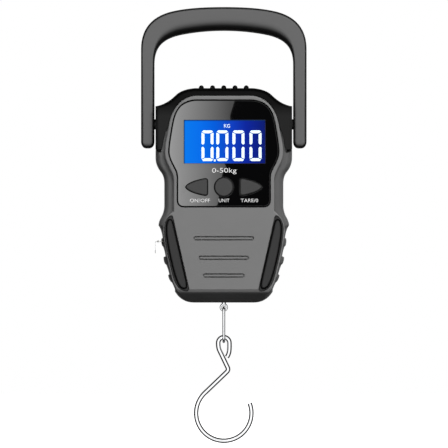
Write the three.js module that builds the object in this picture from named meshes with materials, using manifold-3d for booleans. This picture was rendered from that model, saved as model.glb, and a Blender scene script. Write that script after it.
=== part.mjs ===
// Digital hanging scale for fish: a bail handle, a housing with a display, three buttons and a
// short tape measure, and a wire hook that hangs from the load cell inside.
// Millimetres. The origin is the middle of the handle's crossbar, on its underside, where the
// hand carries the load. +Z is up, +X is to the right of someone who reads the display, and the
// display faces -Y.

import * as THREE from 'three';
import { mergeVertices } from 'three/addons/utils/BufferGeometryUtils.js';
import Module from 'manifold-3d';

const wasm = await Module();
wasm.setup();

// ---- driving dimensions ----

const gap = 0.3; // between pieces that touch

const lowerSlant = { z: -135.2, degrees: 38.5 }; // where the face turns back towards the bottom

const handle = { halfWidth: 43, legInner: 36.06, top: 12.3, legEnd: -61.1, halfDepth: 6.5, edge: 1.4 };

const pivot = { z: -48.6, radius: 2.7, headRadius: 3.8, headInner: 22.6, headThick: 1.4, legDepth: 5 };

const body = {
  top: -29.9, // top of the bumper, without its nubs
  bottom: -141.2,
  face: -14.5, // front of the raised face
  front: -11.5, // front of the rounded sides
  back: 13.5,
  wall: 2.4,
  earHalf: 35.45,
  earTop: -39.3,
  earEnd: -61.5,
  waistHalf: 30.9,
  humpHalf: 33.9,
  sideRound: 3,
};

const cavity = { front: -9, back: body.back - 2.3 };

const ribs = { heights: [-109.7, -119.1, -128.4], tips: [32.4, 31.45, 28.9], tall: 3.4, halfDepth: 8 };

const nubs = { count: 5, pitch: 5.83, radius: 1.0, top: -28.3, halfLength: 6 };

const windowPane = { front: -14.1, back: -12.7, bottom: -91.1, floor: -12.4, gap: 0.7 };

const display = { centre: [0.4, -57.7], view: [41.6, 21.9], glass: [46, 27], front: -13.9 };

const buttons = {
  z: -81.25, front: -14.9, back: -8, roundRadius: 4.75, tip: 19.6, flat: 8.5, tall: 4.2, gap: 0.35,
};

const board = { front: -4, back: -2.9, halfWidth: 21.5, top: -44, bottom: -90.5 };

const grooves = {
  heights: [-107.8, -117.9, -127.1], halfLengths: [15.7, 13.1, 10.8], tall: 2.3, depth: 1,
};

const cell = { radius: 5.2, halfLength: 22.25, y: 5.2, heights: [-60.6, -72] }; // AAA size

const pocket = { halfWidth: 23.4, top: -55.2, bottom: -77.4, wall: 2.4, floor: -1 };

const cover = { halfWidth: 24.6, top: -54.3, bottom: -78.3, thick: 1.8 };

const bar = { halfWidth: 6, front: -2.4, back: 3.6, top: -92, bottom: -137.5, screws: [-95.5, -102] };

const tape = {
  reelZ: -119.5, coilRadius: 9.6, width: 5.6, y: -7.5, flange: 12.3, bladeZ: -109.5, thick: 0.25,
};

const tapeEnd = { x: -35.7, thick: 0.5, drop: 6.1, halfWidth: 3 };

const eye = { z: -143.75, radius: 1.6, wire: 0.55, shank: 1.1 };

const link = { wire: 0.75 };

const hook = { wire: 1.25, eyeTop: -159.35, eyeRadius: 2.9, bowlZ: -198.8, bowlRadius: 14.4 };

const screwPosts = [[-15, -39.8], [15, -39.8], [-18, -130.5], [18, -130.5]];

// ---- finishes ----

const finish = (color, roughness, metalness = 0) =>
  new THREE.MeshStandardMaterial({ color, roughness, metalness });

const greyPlastic = finish(0x747474, 0.5);
const blackPlastic = finish(0x151515, 0.35);
const glossBlack = finish(0x0c0c0d, 0.06);
const blueDisplay = finish(0x1238d8, 0.1);
const whitePlastic = finish(0xe8e8e4, 0.5);
const gripRubber = finish(0x3a3a3b, 0.75);
const buttonGrey = finish(0x4d4d4e, 0.55);
const silicone = finish(0x9a9a96, 0.8);
const greenBoard = finish(0x1f5a35, 0.5);
const chipBlack = finish(0x101012, 0.45);
const cellJacket = finish(0x30343a, 0.35, 0.3);
const plated = finish(0xb9bcc0, 0.3, 1);
const stainless = finish(0xd8dadc, 0.12, 1);
const aluminium = finish(0xb4b8bc, 0.35, 1);
const springSteel = finish(0x7c8088, 0.35, 1);
const tapeWhite = finish(0xe9e7de, 0.35);
const leadGrey = finish(0x8a8c90, 0.6);

// ---- solids ----

function solidOf(geometry) {
  geometry.deleteAttribute('normal');
  geometry.deleteAttribute('uv');
  const merged = mergeVertices(geometry, 1e-4);
  const mesh = new wasm.Mesh({
    numProp: 3,
    vertProperties: new Float32Array(merged.attributes.position.array),
    triVerts: new Uint32Array(merged.index.array),
  });
  return new wasm.Manifold(mesh);
}

function geometryOf(solid) {
  const { vertProperties, triVerts } = solid.getMesh();
  const geometry = new THREE.BufferGeometry();
  geometry.setAttribute('position', new THREE.BufferAttribute(vertProperties, 3));
  geometry.setIndex(new THREE.BufferAttribute(triVerts, 1));
  geometry.computeVertexNormals();
  return geometry;
}

const joined = (first, ...others) => others.reduce((sum, other) => sum.add(other), first);

const without = (first, ...others) => others.reduce((rest, other) => rest.subtract(other), first);

function block(x, y, z) {
  const geometry = new THREE.BoxGeometry(x[1] - x[0], y[1] - y[0], z[1] - z[0]);
  geometry.translate((x[0] + x[1]) / 2, (y[0] + y[1]) / 2, (z[0] + z[1]) / 2);
  return solidOf(geometry);
}

function rod(radius, from, to, sides = 18) {
  const start = new THREE.Vector3(...from);
  const end = new THREE.Vector3(...to);
  const geometry = new THREE.CylinderGeometry(radius, radius, start.distanceTo(end), sides);
  const along = end.clone().sub(start).normalize();
  geometry.applyQuaternion(new THREE.Quaternion().setFromUnitVectors(new THREE.Vector3(0, 1, 0), along));
  geometry.translate(...start.add(end).multiplyScalar(0.5).toArray());
  return solidOf(geometry);
}

// A turned ring about the Y direction through (x, z).
function ring(inner, outer, y, x, z, sides = 24) {
  const corners = [[inner, y[0]], [outer, y[0]], [outer, y[1]], [inner, y[1]], [inner, y[0]]];
  const geometry = new THREE.LatheGeometry(corners.map(([r, h]) => new THREE.Vector2(r, h)), sides);
  geometry.translate(x, 0, z);
  return solidOf(geometry);
}

// Outlines are drawn in the XZ plane. A slab is an outline pushed from y = front to y = back,
// with its edges rounded inwards by "round" over "roundDepth".
function slab(outline, front, back, round = 0, roundDepth = round) {
  const geometry = new THREE.ExtrudeGeometry(outline, {
    depth: back - front - 2 * roundDepth,
    curveSegments: 5,
    bevelEnabled: round > 0,
    bevelSize: round,
    bevelOffset: -round,
    bevelThickness: roundDepth,
    bevelSegments: 2,
  });
  geometry.rotateX(Math.PI / 2);
  geometry.translate(0, back - roundDepth, 0);
  return solidOf(geometry);
}

// A round wire through the given points.
function wire(points, radius, steps, sides = 10) {
  const section = new THREE.Shape().absarc(0, 0, radius, 0, 2 * Math.PI);
  const path = new THREE.CatmullRomCurve3(points, false, 'centripetal');
  const options = { extrudePath: path, steps, curveSegments: sides / 2 };
  return solidOf(new THREE.ExtrudeGeometry(section, options));
}

// Points on an arc in the XZ plane, angles in degrees from +X towards +Z.
function arcPoints(x, z, radius, from, to, count) {
  return Array.from({ length: count }, (_, i) => {
    const angle = THREE.MathUtils.degToRad(from + ((to - from) * i) / (count - 1));
    return new THREE.Vector3(x + radius * Math.cos(angle), 0, z + radius * Math.sin(angle));
  });
}

// ---- outlines ----

// Both halves of an outline whose right half runs from the centre line back to the centre line.
function bothHalves(half) {
  const right = half.getPoints(4);
  const left = right.slice(1, -1).reverse().map((p) => new THREE.Vector2(-p.x, p.y));
  return new THREE.Shape([...right, ...left]);
}

// The outline moved outwards by a distance, or inwards where the distance is negative.
function grown(outline, distance) {
  const points = outline.getPoints(6);
  const side = THREE.ShapeUtils.isClockWise(points) ? 1 : -1;
  const count = points.length;
  const moved = points.map((point, i) => {
    const into = point.clone().sub(points[(i + count - 1) % count]).normalize();
    const out = points[(i + 1) % count].clone().sub(point).normalize();
    const normal = new THREE.Vector2(-(into.y + out.y), into.x + out.x).normalize();
    const spread = Math.max(0.4, normal.x * -out.y + normal.y * out.x);
    return point.clone().addScaledVector(normal, (side * distance) / spread);
  });
  return new THREE.Shape(moved);
}

function mirrored(outline) {
  return new THREE.Shape(outline.getPoints(6).reverse().map((p) => new THREE.Vector2(-p.x, p.y)));
}

// Sides and bottom that the bumper and the shells share, below the shoulder.
function lowerSide(half) {
  half.lineTo(body.earHalf, -66);
  half.quadraticCurveTo(body.earHalf, -70, 32.8, -73.3);
  half.quadraticCurveTo(body.waistHalf, -75.6, body.waistHalf, -79.5);
  half.lineTo(body.waistHalf, -91);
  half.quadraticCurveTo(31, -94.2, 32.6, -97);
  half.quadraticCurveTo(body.humpHalf + 0.5, -100.4, 33.2, -104);
  half.quadraticCurveTo(31.6, -112.5, 29.6, -121);
  half.quadraticCurveTo(28, -128.8, 25.6, -133.5);
  half.quadraticCurveTo(22, body.bottom, 14.5, body.bottom);
  half.lineTo(0, body.bottom);
  return half;
}

// The whole housing seen from the front, with the bumper on.
function silhouette() {
  const half = new THREE.Path();
  half.moveTo(0, body.top);
  half.lineTo(15, body.top);
  half.quadraticCurveTo(21.8, -30.4, 25, -33.6);
  half.quadraticCurveTo(29.6, -38.2, body.earHalf, body.earTop);
  return bothHalves(lowerSide(half));
}

// The shells without the bumper: narrower above the ears' lower ends.
function shellOutline() {
  const half = new THREE.Path();
  half.moveTo(0, -34.1);
  half.lineTo(16.4, -34.1);
  half.quadraticCurveTo(25, -35.5, 26.8, -42.3);
  half.quadraticCurveTo(28.3, -50, 29, -57.5);
  half.lineTo(29.2, body.earEnd);
  half.lineTo(body.earHalf, body.earEnd - 0.4);
  return bothHalves(lowerSide(half));
}

// The raised face: the rim round the window, and the plate with the grips below it.
function faceOutline() {
  const half = new THREE.Path();
  half.moveTo(0, -33.9);
  half.lineTo(14.5, -33.9);
  half.quadraticCurveTo(21.6, -34.3, 25, -40.9);
  half.quadraticCurveTo(27.6, -46, 28.3, -49.6);
  half.lineTo(30.2, -57.5);
  half.quadraticCurveTo(31.4, -64.5, 28.9, -69.9);
  half.quadraticCurveTo(26.1, -74.6, 26.1, -78.5);
  half.lineTo(26.1, -93.5);
  half.quadraticCurveTo(31.5, -98, 31.5, -104);
  half.quadraticCurveTo(30.5, -113, 26.8, -128.2);
  half.quadraticCurveTo(24.4, -137, 15, -138.2);
  half.lineTo(0, -138.2);
  return bothHalves(half);
}

function windowOutline() {
  const half = new THREE.Path();
  half.moveTo(0, -36.5);
  half.lineTo(14.4, -36.5);
  half.quadraticCurveTo(21.4, -36.9, 24.4, -42.8);
  half.quadraticCurveTo(26.4, -47.6, 27.1, -53.5);
  half.lineTo(27.7, -57.5);
  half.quadraticCurveTo(28.9, -64, 26.3, -69.1);
  half.quadraticCurveTo(23.7, -73.6, 23.7, -77.5);
  half.lineTo(23.7, windowPane.bottom + 3.2);
  half.quadraticCurveTo(23.7, windowPane.bottom, 20.5, windowPane.bottom);
  half.lineTo(0, windowPane.bottom);
  return bothHalves(half);
}

function gripOutline() {
  const outline = new THREE.Shape();
  outline.moveTo(26.1, -95.4);
  outline.quadraticCurveTo(30.6, -98.6, 30.7, -104);
  outline.quadraticCurveTo(29.8, -113, 26.1, -128.2);
  outline.quadraticCurveTo(25.2, -132, 22.8, -134.6);
  outline.lineTo(17.9, -134.6);
  return outline;
}

function stripOutline() {
  const outline = new THREE.Shape();
  outline.moveTo(26.3, -101);
  outline.quadraticCurveTo(27.4, -97.2, 28.8, -99.6);
  outline.quadraticCurveTo(29.4, -101, 29.2, -104.5);
  outline.quadraticCurveTo(28.2, -115.5, 25.2, -126);
  outline.quadraticCurveTo(23.4, -131.8, 20.9, -133.2);
  outline.quadraticCurveTo(19.4, -133.8, 19.9, -131);
  return outline;
}

function pointedButton() {
  const outline = new THREE.Shape();
  const { tip, flat, tall, z } = buttons;
  outline.moveTo(flat, z + tall - 1);
  outline.quadraticCurveTo(flat, z + tall, flat + 1.2, z + tall);
  outline.quadraticCurveTo(tip - 1.6, z + tall - 1.2, tip, z);
  outline.quadraticCurveTo(tip - 1.6, z - tall + 1.2, flat + 1.2, z - tall);
  outline.quadraticCurveTo(flat, z - tall, flat, z - tall + 1);
  return outline;
}

function roundButton() {
  return new THREE.Shape().absarc(0, buttons.z, buttons.roundRadius, 0, 2 * Math.PI);
}

function rectangle([centreX, centreZ], [width, tall]) {
  const left = centreX - width / 2;
  const low = centreZ - tall / 2;
  const corners = [[left, low], [left + width, low], [left + width, low + tall], [left, low + tall]];
  return new THREE.Shape(corners.map(([x, z]) => new THREE.Vector2(x, z)));
}

function capsule(halfLength, z, tall) {
  const outline = new THREE.Shape();
  const end = halfLength - tall / 2;
  outline.absarc(end, z, tall / 2, -Math.PI / 2, Math.PI / 2);
  outline.absarc(-end, z, tall / 2, Math.PI / 2, (3 * Math.PI) / 2);
  return outline;
}

const buttonOutlines = { left: mirrored(pointedButton()), centre: roundButton(), right: pointedButton() };

// ---- the model ----

const scale = new THREE.Group();

function add(name, solid, material) {
  const mesh = new THREE.Mesh(geometryOf(solid), material);
  mesh.name = name;
  scale.add(mesh);
}

const sides = { left: -1, right: 1 };

// ---- handle ----

function bailOutline() {
  const outer = new THREE.Path();
  outer.moveTo(0, handle.top);
  outer.quadraticCurveTo(16, handle.top, 27.4, 9.9);
  outer.bezierCurveTo(38.5, 7.2, handle.halfWidth, 0.5, handle.halfWidth, -9);
  outer.lineTo(handle.halfWidth, handle.legEnd);
  outer.lineTo(handle.legInner, handle.legEnd);
  outer.lineTo(handle.legInner, -16.5);
  outer.bezierCurveTo(handle.legInner, -9, 32.5, -5, 25, -2.7);
  outer.quadraticCurveTo(14, 0, 0, 0);
  return bothHalves(outer);
}

function pivotRod(sign, radius, from, to) {
  return rod(radius, [sign * from, 0, pivot.z], [sign * to, 0, pivot.z]);
}

function makeHandle() {
  const pinHoles = Object.values(sides).map((sign) =>
    pivotRod(sign, pivot.radius + gap, handle.legInner - 1, handle.legInner + pivot.legDepth + gap));
  const bail = slab(bailOutline(), -handle.halfDepth, handle.halfDepth, handle.edge);
  add('handle_bail', without(bail, ...pinHoles), greyPlastic);
  for (const [side, sign] of Object.entries(sides)) {
    const shaft = pivotRod(sign, pivot.radius, pivot.headInner, handle.legInner + pivot.legDepth);
    const head = pivotRod(sign, pivot.headRadius, pivot.headInner, pivot.headInner + pivot.headThick);
    add(`${side}_pivot_pin`, shaft.add(head), blackPlastic);
  }
}

// ---- housing ----

function ribBars() {
  return ribs.heights.flatMap((z, i) => Object.values(sides).map((sign) => {
    const inner = ribs.tips[i] - 4;
    const outline = rectangle([sign * (inner + 2), z], [4, ribs.tall]);
    return slab(outline, -ribs.halfDepth, ribs.halfDepth, 0.6);
  }));
}

// What lies below the slanted lower edge of the face, or up to "inset" behind that edge.
function belowSlant(inset = 0) {
  const { z, degrees } = lowerSlant;
  const geometry = new THREE.BoxGeometry(100, 40, 20);
  geometry.translate(0, 0, inset - 10);
  geometry.rotateX(-THREE.MathUtils.degToRad(degrees));
  geometry.translate(0, body.face, z);
  return solidOf(geometry);
}

// Outer form of both shells together, solid.
function housingForm() {
  const rounded = slab(shellOutline(), body.front, body.back, body.sideRound, 5);
  const face = slab(faceOutline(), body.face, 0, 0.8);
  return joined(rounded, face, ...ribBars()).subtract(belowSlant());
}

function cavityForm() {
  const room = slab(grown(shellOutline(), -body.wall), cavity.front, cavity.back);
  return room.subtract(belowSlant(body.wall - 0.4));
}

const pinBores = () => Object.values(sides).map((sign) =>
  pivotRod(sign, pivot.radius + gap, 20, handle.legInner - 0.2));

const eyeHole = () => rod(1.9, [0, 0, bar.bottom], [0, 0, body.bottom - 2]);

function tapeSlot() {
  const { y, width, bladeZ } = tape;
  return block([-40, -5], [y - width / 2 - 0.5, y + width / 2 + 0.5], [bladeZ - 1, bladeZ + 0.7]);
}

function makeFrontShell() {
  const { left, centre, right } = buttonOutlines;
  const buttonHoles = [left, centre, right].map((shape) =>
    slab(grown(shape, buttons.gap), -16, buttons.back));
  const recessOutline = grown(windowOutline(), windowPane.gap);
  const windowRecess = slab(recessOutline, windowPane.floor - 4, windowPane.floor);
  const glassRoom = display.glass.map((side) => side + 2 * gap);
  const displayHole = slab(rectangle(display.centre, glassRoom), -16, -8);
  const grooveCuts = grooves.heights.map((z, i) =>
    slab(capsule(grooves.halfLengths[i], z, grooves.tall), body.face - 2, body.face + grooves.depth));
  const gripRecesses = [gripOutline(), mirrored(gripOutline())].map((shape) =>
    slab(shape, body.face - 2, body.face + 1.6));
  const tapeRoom = rod(tape.flange + 1.6, [0, -11.8, tape.reelZ], [0, cavity.front + 1, tape.reelZ], 32);
  const frontHalf = block([-60, 60], [-30, -gap / 2], [-160, 0]);
  const posts = screwPosts.map(([x, z]) => rod(2.6, [x, cavity.front - 0.5, z], [x, -gap / 2, z], 12));
  const postHoles = screwPosts.map(([x, z]) => rod(1.4, [x, cavity.front + 0.5, z], [x, 1, z], 10));
  let shell = without(housingForm(), cavityForm()).intersect(frontHalf);
  shell = joined(shell, ...posts);
  shell = without(shell, ...buttonHoles, windowRecess, displayHole, ...grooveCuts, ...gripRecesses);
  shell = without(shell, tapeRoom, ...postHoles, ...pinBores(), eyeHole(), tapeSlot());
  add('front_shell', shell, greyPlastic);
}

function makeRearShell() {
  const rearHalf = block([-60, 60], [gap / 2, 30], [-160, 0]);
  const { halfWidth, top, bottom, wall, floor } = pocket;
  const outerX = halfWidth + wall;
  const pocketForm = block([-outerX, outerX], [floor - 1.2, cavity.back + 0.3], [bottom - wall, top + 2]);
  const pocketHollow = block([-halfWidth, halfWidth], [floor, 30], [bottom, top]);
  const coverHole = block([-cover.halfWidth - gap, cover.halfWidth + gap],
    [body.back - cover.thick - gap, 30], [cover.bottom - gap, cover.top + gap]);
  const bossHeights = [-106, bar.top + 0.5];
  const boss = block([-bar.halfWidth, bar.halfWidth], [bar.back + gap, cavity.back + 0.3], bossHeights);
  const bossHoles = bar.screws.map((z) => rod(1.7, [0, 0, z], [0, 9.8, z], 16));
  const posts = screwPosts.map(([x, z]) => rod(3.6, [x, gap / 2, z], [x, cavity.back + 0.5, z], 14));
  const shankHoles = screwPosts.map(([x, z]) => rod(1.4, [x, -1, z], [x, 20, z], 10));
  const headHoles = screwPosts.map(([x, z]) => rod(2.5, [x, 5, z], [x, 20, z], 16));
  let shell = without(housingForm(), cavityForm()).intersect(rearHalf);
  shell = joined(shell, pocketForm, boss, ...posts);
  shell = without(shell, pocketHollow, coverHole, ...bossHoles, ...shankHoles, ...headHoles);
  add('rear_shell', without(shell, ...pinBores(), eyeHole()), greyPlastic);
}

function makeBumper() {
  const outer = slab(silhouette(), -13.6, 12.6, 2.2);
  const seat = slab(grown(shellOutline(), gap), -20, 20);
  const faceSeat = slab(grown(faceOutline(), gap), -20, 0);
  const upper = block([-60, 60], [-30, 30], [body.earEnd + gap, 0]);
  const bars = Array.from({ length: nubs.count }, (_, i) => {
    const x = (i - (nubs.count - 1) / 2) * nubs.pitch;
    const z = nubs.top - nubs.radius;
    return rod(nubs.radius, [x, -nubs.halfLength, z], [x, nubs.halfLength, z], 12);
  });
  const bumper = joined(outer.intersect(upper), ...bars);
  add('top_bumper', without(bumper, seat, faceSeat, ...pinBores()), blackPlastic);
}

function makeWindow() {
  const openings = [rectangle(display.centre, display.view.map((side) => side + 2 * gap)),
    ...Object.values(buttonOutlines).map((shape) => grown(shape, buttons.gap))];
  const pane = slab(windowOutline(), windowPane.front, windowPane.back);
  const cuts = openings.map((shape) => slab(shape, windowPane.front - 1, windowPane.back + 1));
  add('window_panel', without(pane, ...cuts), glossBlack);
}

function makeGrips() {
  for (const [side, sign] of Object.entries(sides)) {
    const facing = (shape) => (sign > 0 ? shape : mirrored(shape));
    const pad = slab(facing(grown(gripOutline(), -gap)), -14.2, -13.2);
    const stripHole = slab(facing(grown(stripOutline(), gap)), -20, -10);
    add(`${side}_grip_pad`, pad.subtract(stripHole), gripRubber);
    add(`${side}_grip_strip`, slab(facing(stripOutline()), -14.6, -13.2), gripRubber);
  }
}

function makeScrews() {
  screwPosts.forEach(([x, z], i) => {
    const head = rod(2.1, [x, 5.3, z], [x, 7.1, z], 16);
    const slot = block([x - 1.3, x + 1.3], [6.5, 8], [z - 0.3, z + 0.3]);
    const crossSlot = block([x - 0.3, x + 0.3], [6.5, 8], [z - 1.3, z + 1.3]);
    const shank = rod(1.1, [x, -7, z], [x, 5.5, z], 12);
    add(`housing_screw_${i + 1}`, without(head.add(shank), slot, crossSlot), plated);
  });
}

// ---- display, buttons and electronics ----

function makeElectronics() {
  const { centre, view, glass, front } = display;
  const viewGlass = slab(rectangle(centre, view), front, -11);
  add('display_module', viewGlass.add(slab(rectangle(centre, glass), -12.4, -10)), blueDisplay);
  const panel = slab(rectangle([centre[0], centre[1] - 1.7], [glass[0], 23.3]), -9.7, -7.7);
  add('backlight_panel', panel, whitePlastic);
  add('display_connector', block([-20, 20], [-9.7, board.front - gap], [-46.9, -44.6]), silicone);
  const lead = rod(1.3, [12, -10, -88.5], [12, 0, -88.5], 12);
  const { halfWidth, front: boardFront, back, top, bottom } = board;
  const boardForm = block([-halfWidth, halfWidth], [boardFront, back], [bottom, top]);
  add('circuit_board', boardForm.subtract(lead), greenBoard);
  add('controller_chip', block([-5, 5], [board.front - 1.8, board.front - gap], [-62, -52]), chipBlack);
}

function makeButtons() {
  const centres = { left: -13, centre: 0, right: 13 };
  for (const [side, outline] of Object.entries(buttonOutlines)) {
    const cap = slab(outline, buttons.front, buttons.back, 0.4);
    const flange = slab(grown(outline, 0.9), -8.7, -7.9);
    add(`${side}_button`, cap.add(flange), buttonGrey);
    const x = centres[side];
    const heights = [buttons.z - 2.6, buttons.z + 2.6];
    const switchBody = block([x - 2.6, x + 2.6], [-5.2, board.front - gap], heights);
    const plunger = rod(1.2, [x, -5.5, buttons.z], [x, -5, buttons.z], 16);
    add(`${side}_switch`, switchBody.add(plunger), chipBlack);
  }
  const mat = block([-20, 20], [-6.5, -5.8], [buttons.z - 5.5, buttons.z + 5.5]);
  const domes = Object.values(centres).map((x) => rod(2.2, [x, -6.6, buttons.z], [x, -6, buttons.z], 16));
  add('button_mat', joined(mat, ...domes), silicone);
}

// ---- batteries ----

function makeBatteries() {
  const { radius, halfLength, y, heights } = cell;
  const names = ['upper', 'lower'];
  heights.forEach((z, i) => {
    const sign = i === 0 ? 1 : -1;
    const jacket = rod(radius, [-sign * halfLength, y, z], [sign * (halfLength - 1.2), y, z], 28);
    const button = rod(1.9, [sign * (halfLength - 1.5), y, z], [sign * halfLength, y, z], 16);
    add(`${names[i]}_battery`, jacket.add(button), cellJacket);
  });
  const middle = (heights[0] + heights[1]) / 2;
  const plate = (x, z, tall) => block([x - 0.25, x + 0.25], [y - 4, y + 4], [z - tall / 2, z + tall / 2]);
  add('joining_contact', plate(-halfLength - 0.7, middle, 20), plated);
  add('positive_contact', plate(halfLength + 0.7, heights[0], 8.5), plated);
  add('negative_contact', plate(halfLength + 0.7, heights[1], 8.5), plated);
  const panel = block([-cover.halfWidth, cover.halfWidth], [body.back - cover.thick, body.back],
    [cover.bottom, cover.top]);
  const thumbNotch = rod(5, [0, body.back - 0.9, cover.top - 1], [0, body.back + 1, cover.top - 1], 28);
  add('battery_cover', panel.subtract(thumbNotch), greyPlastic);
}

// ---- load cell ----

function makeLoadCell() {
  const { halfWidth, front, back, top, bottom, screws } = bar;
  const form = block([-halfWidth, halfWidth], [front, back], [bottom, top]);
  const screwHoles = screws.map((z) => rod(1.7, [0, front - 1, z], [0, back + 1, z], 16));
  const strainHoles = [-113, -118].map((z) => rod(2.7, [0, front - 1, z], [0, back + 1, z], 20));
  const strainSlot = block([-1, 1], [front - 1, back + 1], [-118, -113]);
  const nutWindow = block([-3.6, 3.6], [front - 1, back + 1], [-131.2, -127]);
  const eyeBore = rod(eye.shank + gap, [0, 0, bottom - 1], [0, 0, -130], 16);
  const cuts = [...screwHoles, ...strainHoles, strainSlot, nutWindow, eyeBore];
  add('load_cell', without(form, ...cuts), aluminium);
  screws.forEach((z, i) => {
    const head = rod(2.7, [0, front - 2.2, z], [0, front - gap, z], 16);
    const socket = rod(1.2, [0, front - 3, z], [0, front - 1.3, z], 6);
    const shank = rod(1.35, [0, front - 1, z], [0, 9.4, z], 10);
    add(`load_cell_screw_${i + 1}`, without(head.add(shank), socket), plated);
  });
  const thread = rod(eye.shank + gap, [0, 0, -132], [0, 0, -128], 16);
  add('eye_nut', rod(2.9, [0, 0, -130.9], [0, 0, -128.7], 6).subtract(thread), plated);
  const gauge = block([halfWidth + gap, halfWidth + 0.8], [-1.4, 2.4], [-120, -111]);
  add('strain_gauge', gauge, whitePlastic);
  const leadPoints = [[7.4, -0.2, -110.6], [8.4, -1.2, -106], [10.5, -1.4, -100], [11.8, -1.6, -93.5],
    [12, -1.9, -89.8], [12, -2.6, -88.6], [12, -4.6, -88.5]].map((p) => new THREE.Vector3(...p));
  add('gauge_lead', wire(leadPoints, 0.6, 14, 8), leadGrey);
}

function makeLoadEye() {
  const circle = new THREE.Path().absarc(eye.radius, 0, eye.wire, 0, 2 * Math.PI).getPoints(4);
  const ringGeometry = new THREE.LatheGeometry(circle, 18);
  ringGeometry.translate(0, 0, eye.z);
  const shankFoot = eye.z + eye.radius + 0.2;
  const shank = rod(eye.shank, [0, 0, -128.2], [0, 0, shankFoot], 16);
  add('load_eye', solidOf(ringGeometry).add(shank), stainless);
}

// ---- tape measure ----

function makeTape() {
  const { reelZ, coilRadius, width, y, flange, bladeZ, thick } = tape;
  const front = y - width / 2;
  const back = y + width / 2;
  const caseRing = ring(flange + 0.5, flange + 1.3, [-11.5, -2.9], 0, reelZ, 28);
  const caseBack = rod(flange + 1, [0, back + 1, reelZ], [0, -2.9, reelZ], 28);
  const axleHole = rod(2.1, [0, -5, reelZ], [0, -2, reelZ]);
  add('tape_case', without(caseRing.add(caseBack), axleHole, tapeSlot()), blackPlastic);
  const hub = ring(5.4, 6.2, [front, back], 0, reelZ);
  const hubWall = ring(2.4, flange, [back, back + 0.5], 0, reelZ, 28);
  add('tape_reel', hub.add(hubWall), blackPlastic);
  add('tape_coil', ring(6.5, coilRadius, [front, back - gap], 0, reelZ), tapeWhite);
  add('tape_spring', ring(3.1, 5.1, [front + 0.2, back - gap], 0, reelZ), springSteel);
  add('tape_axle', rod(1.8, [0, -11.5, reelZ], [0, -2.7, reelZ]), plated);
  const bladeSpan = [tapeEnd.x + tapeEnd.thick + 0.1, 0];
  const blade = block(bladeSpan, [front, back - gap], [bladeZ, bladeZ + thick]);
  const rivetHole = rod(0.75, [-34.2, y, bladeZ - 2], [-34.2, y, bladeZ + 2], 12);
  add('tape_blade', blade.subtract(rivetHole), tapeWhite);
  const { x, thick: plateThick, drop, halfWidth } = tapeEnd;
  const plateHeights = [bladeZ - drop, bladeZ + thick];
  const plate = block([x, x + plateThick - 0.2], [y - halfWidth, y + halfWidth], plateHeights);
  const foot = block([x, -33], [y - 2, y + 2], [bladeZ - 0.65, bladeZ - gap]);
  add('tape_end_hook', plate.add(foot).subtract(rivetHole), stainless);
  const rivet = rod(0.45, [-34.2, y, bladeZ - 0.7], [-34.2, y, bladeZ + thick + 0.3], 12);
  add('tape_rivet', rivet, plated);
}

// ---- link and hook ----

function makeLink() {
  const eyeLow = eye.z - eye.radius;
  const topRadius = eye.wire + gap + link.wire;
  const lowRadius = hook.wire + gap + link.wire;
  const bend = (centreZ, radius, from, to) => arcPoints(0, centreZ, radius, from, to, 7)
    .map((p) => new THREE.Vector3(0, p.x, p.z));
  const points = [
    new THREE.Vector3(0, -2.1, -152.7),
    ...bend(eyeLow, topRadius, 180, 0),
    ...bend(hook.eyeTop, lowRadius, 0, -180),
    new THREE.Vector3(0, -2.2, -153.2),
  ];
  add('wire_link', wire(points, link.wire, 34, 8), stainless);
}

function makeHook() {
  const { wire: radius, eyeTop, eyeRadius, bowlZ, bowlRadius } = hook;
  const at = (x, z) => new THREE.Vector3(x, 0, z);
  const points = [
    at(1.6, -169.6), at(2.75, -167.4), at(2.95, -165.2),
    ...arcPoints(0, eyeTop - eyeRadius, eyeRadius, 0, 180, 7),
    at(-2.75, -165), at(-0.5, -169.9), at(1.85, -174.7),
    at(2.15, -176), at(1.55, -177.1), at(-4.6, -182.8),
    ...arcPoints(0, bowlZ, bowlRadius, 136, 381, 18),
  ];
  add('hook', wire(points, radius, 66, 10), stainless);
}

makeHandle();
makeFrontShell();
makeRearShell();
makeBumper();
makeWindow();
makeGrips();
makeScrews();
makeElectronics();
makeButtons();
makeBatteries();
makeLoadCell();
makeLoadEye();
makeTape();
makeLink();
makeHook();

export default scale;
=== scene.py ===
import math

import bpy
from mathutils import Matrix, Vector


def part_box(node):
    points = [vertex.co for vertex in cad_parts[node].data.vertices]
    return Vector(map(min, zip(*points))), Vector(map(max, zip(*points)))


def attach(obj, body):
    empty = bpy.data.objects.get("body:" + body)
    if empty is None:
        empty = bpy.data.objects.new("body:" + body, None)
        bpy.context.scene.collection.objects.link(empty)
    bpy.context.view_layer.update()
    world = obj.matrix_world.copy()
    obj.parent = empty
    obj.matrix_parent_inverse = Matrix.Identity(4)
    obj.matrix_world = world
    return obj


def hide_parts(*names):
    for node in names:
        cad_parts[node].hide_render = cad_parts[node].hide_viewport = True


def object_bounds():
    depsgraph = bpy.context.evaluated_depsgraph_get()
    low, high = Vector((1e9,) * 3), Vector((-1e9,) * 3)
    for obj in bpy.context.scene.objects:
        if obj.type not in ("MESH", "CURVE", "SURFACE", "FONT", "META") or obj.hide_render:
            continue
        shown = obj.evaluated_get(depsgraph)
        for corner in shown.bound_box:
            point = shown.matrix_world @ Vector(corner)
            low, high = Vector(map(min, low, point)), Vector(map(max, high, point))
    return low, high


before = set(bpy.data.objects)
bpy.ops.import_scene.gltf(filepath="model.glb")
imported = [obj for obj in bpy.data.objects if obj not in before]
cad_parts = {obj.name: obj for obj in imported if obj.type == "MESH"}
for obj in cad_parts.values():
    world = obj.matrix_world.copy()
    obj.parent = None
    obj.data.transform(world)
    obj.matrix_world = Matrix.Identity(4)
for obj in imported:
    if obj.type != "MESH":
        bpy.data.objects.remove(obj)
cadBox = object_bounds()
print("frame loaded")

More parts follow.
